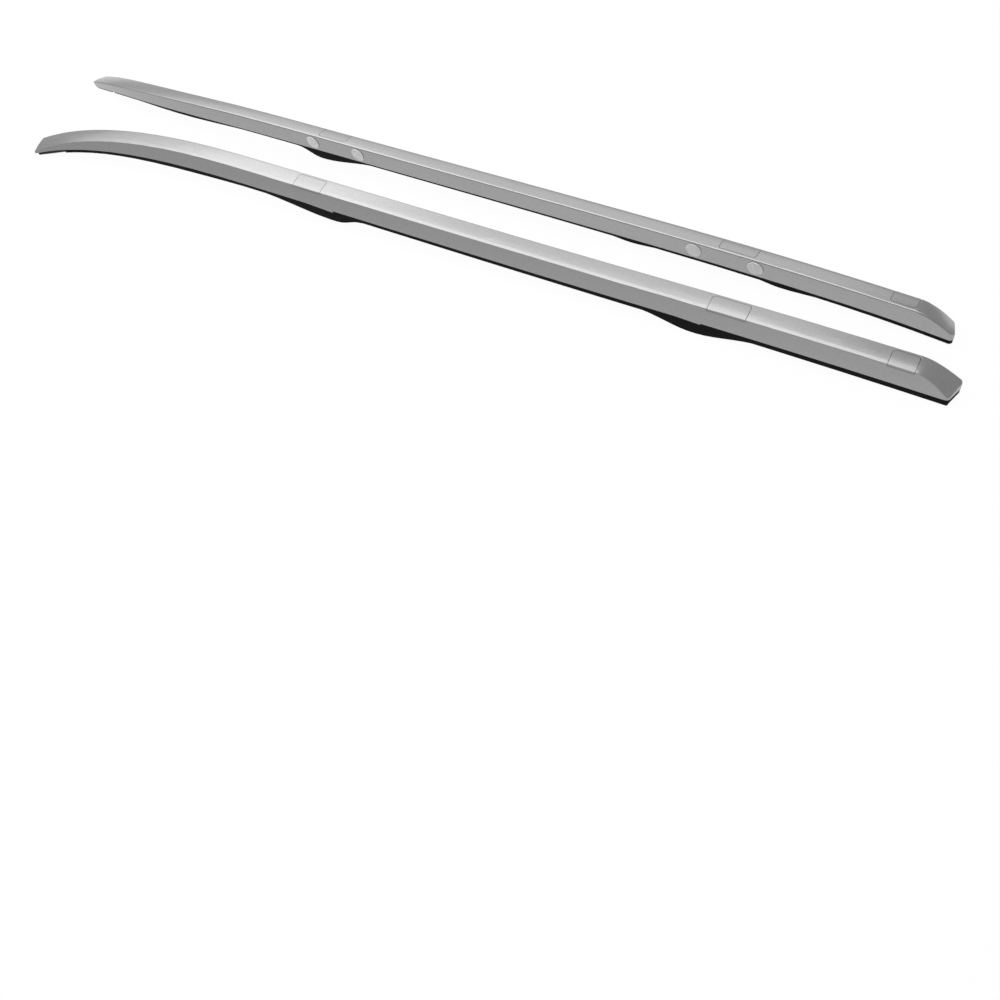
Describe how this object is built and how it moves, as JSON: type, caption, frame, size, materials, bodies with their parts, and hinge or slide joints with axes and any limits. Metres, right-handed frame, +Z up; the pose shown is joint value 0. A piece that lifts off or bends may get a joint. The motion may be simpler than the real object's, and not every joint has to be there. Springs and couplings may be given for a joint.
{
  "type": "roof side rail pair",
  "caption": "Pair of low flush roof side rails in satin silver, swept thin at the front, sloping nose at the rear, flush lids, round side plugs and a black rubber base strip.",
  "frame": {"origin": "on the floor, under the middle of the box around both rails", "axes": "+X along the rails to the rear, where the sloping noses are; +Y to the right rail; +Z up"},
  "size_m": [1.7499, 0.2456, 0.0718],
  "materials": {
    "silver_rail": "satin silver",
    "silver_cover": "satin silver paint",
    "plug_plastic": "matt light grey",
    "black_rubber": "matt",
    "black_plastic": "fine grain",
    "black_steel": "black coating",
    "zinc_steel": "zinc plated"
  },
  "bodies": {
    "root": {"left_rail": "silver_rail", "left_front_foot_cover": "silver_cover", "left_rear_foot_cover": "silver_cover", "left_rear_end_cover": "silver_cover", "left_side_plugs": "plug_plastic", "left_base_gasket": "black_rubber", "left_front_foot_bracket": "zinc_steel", "left_rear_foot_bracket": "zinc_steel", "left_rear_end_bracket": "zinc_steel", "left_crossbar_inserts": "zinc_steel", "left_mounting_bolts": "zinc_steel", "left_bolt_washers": "zinc_steel", "left_locating_pegs": "black_plastic", "left_tip_bracket": "black_steel", "left_tip_screw": "zinc_steel", "left_tip_clip": "black_plastic", "right_rail": "silver_rail", "right_front_foot_cover": "silver_cover", "right_rear_foot_cover": "silver_cover", "right_rear_end_cover": "silver_cover", "right_side_plugs": "plug_plastic", "right_base_gasket": "black_rubber", "right_front_foot_bracket": "zinc_steel", "right_rear_foot_bracket": "zinc_steel", "right_rear_end_bracket": "zinc_steel", "right_crossbar_inserts": "zinc_steel", "right_mounting_bolts": "zinc_steel", "right_bolt_washers": "zinc_steel", "right_locating_pegs": "black_plastic", "right_tip_bracket": "black_steel", "right_tip_screw": "zinc_steel", "right_tip_clip": "black_plastic"}
  },
  "joints": []
}
